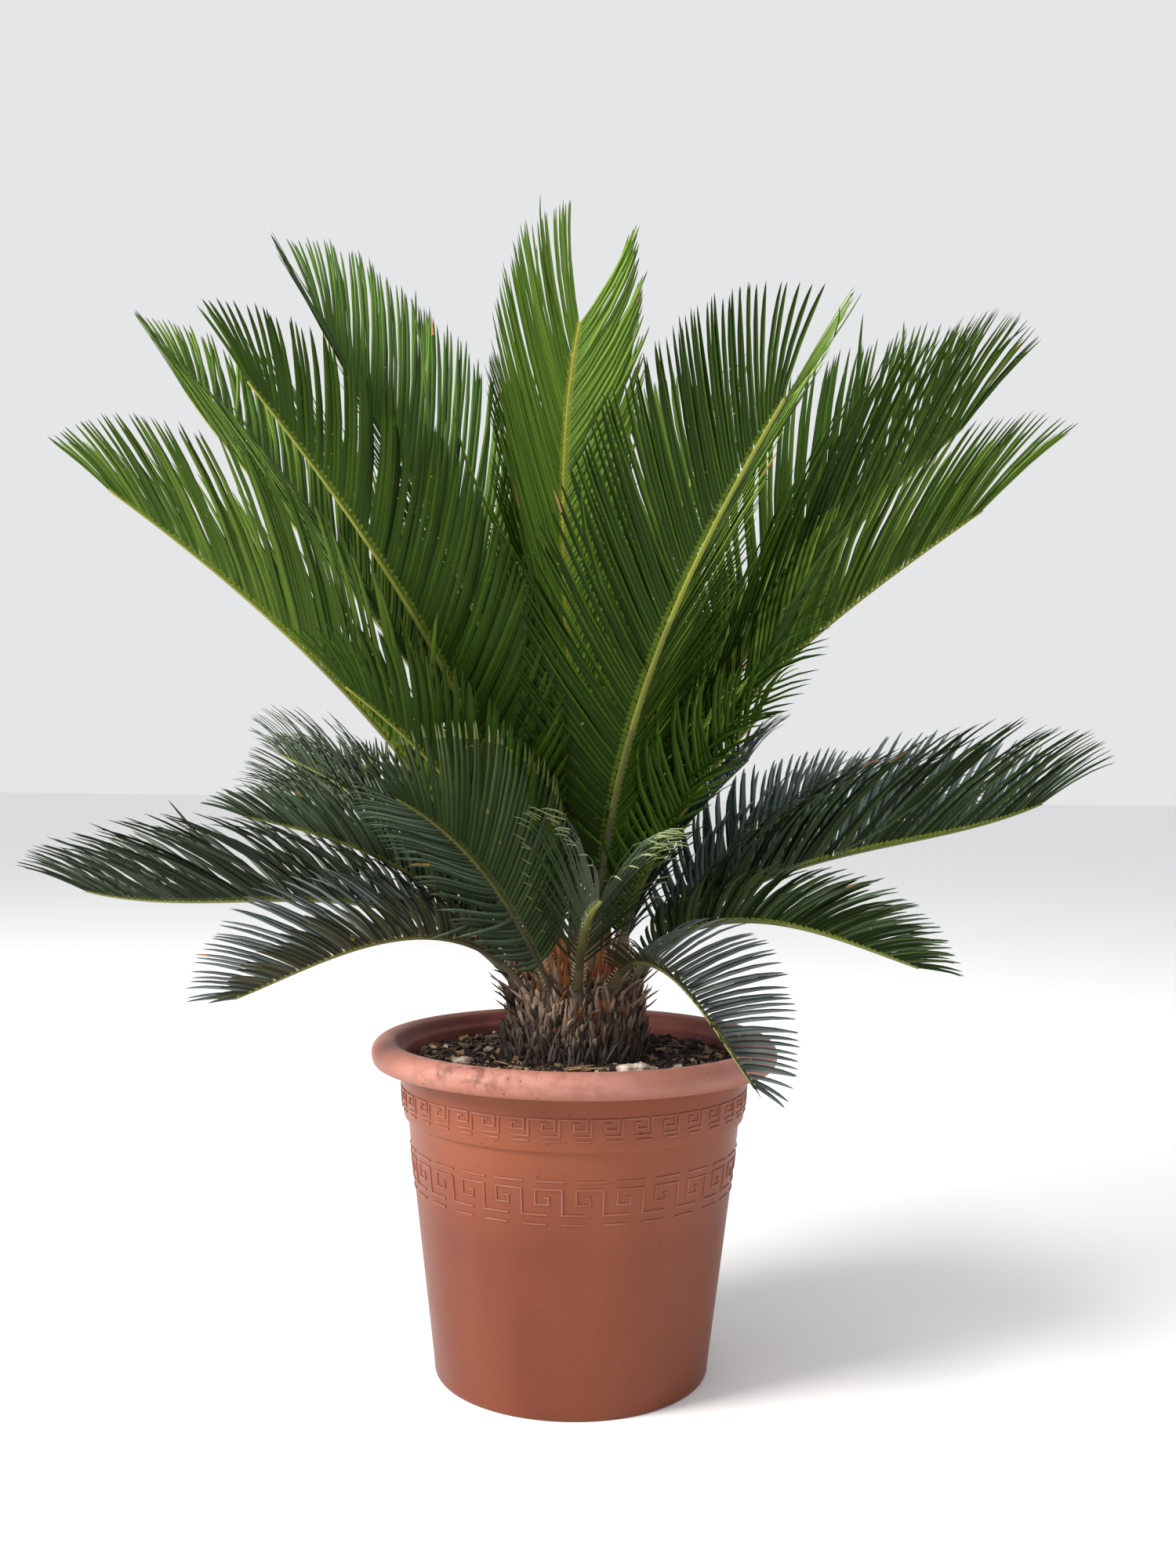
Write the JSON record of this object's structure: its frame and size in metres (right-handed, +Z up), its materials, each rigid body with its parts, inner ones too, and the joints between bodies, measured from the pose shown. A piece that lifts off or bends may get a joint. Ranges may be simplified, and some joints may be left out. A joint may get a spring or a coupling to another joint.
{
  "type": "potted sago palm",
  "caption": "Sago palm with a rosette of stiff feather fronds on a short scaly stem, growing in a round terracotta-coloured plastic pot",
  "frame": {"origin": "middle of the pot's flat underside, on the surface it stands on", "axes": "+Z up along the pot's axis, the plant's front faces -Y and +X is to its right"},
  "size_m": [0.9762, 0.8971, 1.1111],
  "materials": {
    "pot_plastic": "satin moulded plastic, terracotta colour, scuffed pale on the rim",
    "soil": "rough damp potting mix with bark chips",
    "stone": "dull pale stone",
    "bark": "rough dry leaf bases with woolly fibre",
    "leaf_young": "satin bright green, waxy",
    "leaf_grown": "glossy mid green, waxy",
    "leaf_old": "glossy dark blue-green, waxy"
  },
  "bodies": {
    "root": {"pot": "pot_plastic", "potting_soil": "soil", "stone_1": "stone", "stone_2": "stone", "trunk": "bark", "frond_back_high": "leaf_grown", "frond_back_left_high": "leaf_grown", "frond_back_left_mid": "leaf_grown", "frond_back_left_tall": "leaf_young", "frond_back_low_left": "leaf_old", "frond_back_low_right": "leaf_old", "frond_back_right_high": "leaf_grown", "frond_back_right_low": "leaf_old", "frond_back_right_mid": "leaf_grown", "frond_front_left_arch_inner": "leaf_old", "frond_front_left_arch_outer": "leaf_old", "frond_front_left_low": "leaf_old", "frond_front_left_tall": "leaf_grown", "frond_front_low": "leaf_old", "frond_front_right_arch_inner": "leaf_old", "frond_front_right_arch_outer": "leaf_old", "frond_front_right_tall": "leaf_grown", "frond_heart": "leaf_young", "frond_heart_back": "leaf_young", "frond_heart_right": "leaf_young", "frond_left_back_low": "leaf_old", "frond_left_back_wide": "leaf_old", "frond_left_front_low": "leaf_old", "frond_left_front_mid": "leaf_grown", "frond_left_high": "leaf_grown", "frond_left_inner_low": "leaf_old", "frond_left_low_inner": "leaf_old", "frond_left_low_outer": "leaf_old", "frond_right_arch_inner": "leaf_old", "frond_right_arch_outer": "leaf_old", "frond_right_back_wide": "leaf_old", "frond_right_front_high": "leaf_grown", "frond_right_high": "leaf_grown", "frond_right_low_inner": "leaf_old", "frond_right_low_outer": "leaf_old"}
  },
  "joints": []
}
